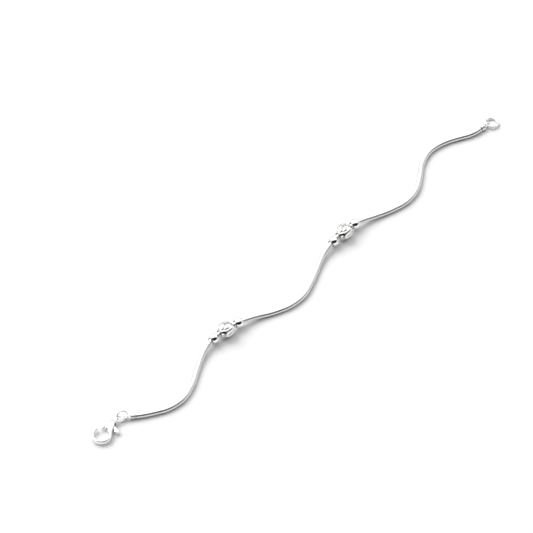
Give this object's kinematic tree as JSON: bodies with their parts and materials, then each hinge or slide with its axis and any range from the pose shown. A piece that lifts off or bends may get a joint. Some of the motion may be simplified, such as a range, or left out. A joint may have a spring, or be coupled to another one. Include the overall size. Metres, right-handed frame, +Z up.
{
  "type": "payal anklet",
  "caption": "Silver payal anklet lying open: round snake chain with groups of plain and pierced oval beads, coil ends, an end ring and a lobster clasp on a jump ring",
  "frame": {"origin": "middle of the anklet's box, on the surface that it lies on", "axes": "+X runs along the chain from the clasp end to the ring end, +Z is up from the surface"},
  "size_m": [0.2466, 0.019, 0.0069],
  "materials": {
    "chain_silver": "silver plate on fine woven links, bright with a soft gloss",
    "mirror_silver": "silver plate, polished to a mirror",
    "pierced_silver": "silver plate, polished ribs with darker recesses",
    "wire_silver": "polished silver-plated wire",
    "clasp_silver": "silver plate on a smooth casting, polished"
  },
  "bodies": {
    "root": {"snake_chain": "chain_silver", "round_bead_1": "mirror_silver", "oval_bead_1": "pierced_silver", "round_bead_2": "mirror_silver", "round_bead_3": "mirror_silver", "oval_bead_2": "pierced_silver", "round_bead_4": "mirror_silver", "coil_end_ring": "wire_silver", "end_ring": "wire_silver", "coil_end_clasp": "wire_silver", "jump_ring": "wire_silver", "clasp_body": "clasp_silver", "clasp_rivet": "clasp_silver"},
    "lever": {"clasp_lever": "clasp_silver"}
  },
  "joints": [
    {"name": "lever_swing", "type": "hinge", "parent": "root", "child": "lever", "pos_m": [-0.11203, 0.0058, 0.0015], "axis": [0, 0, 1], "range_deg": [0, 25], "stiffness_Nm_per_rad": 0.0005}
  ]
}
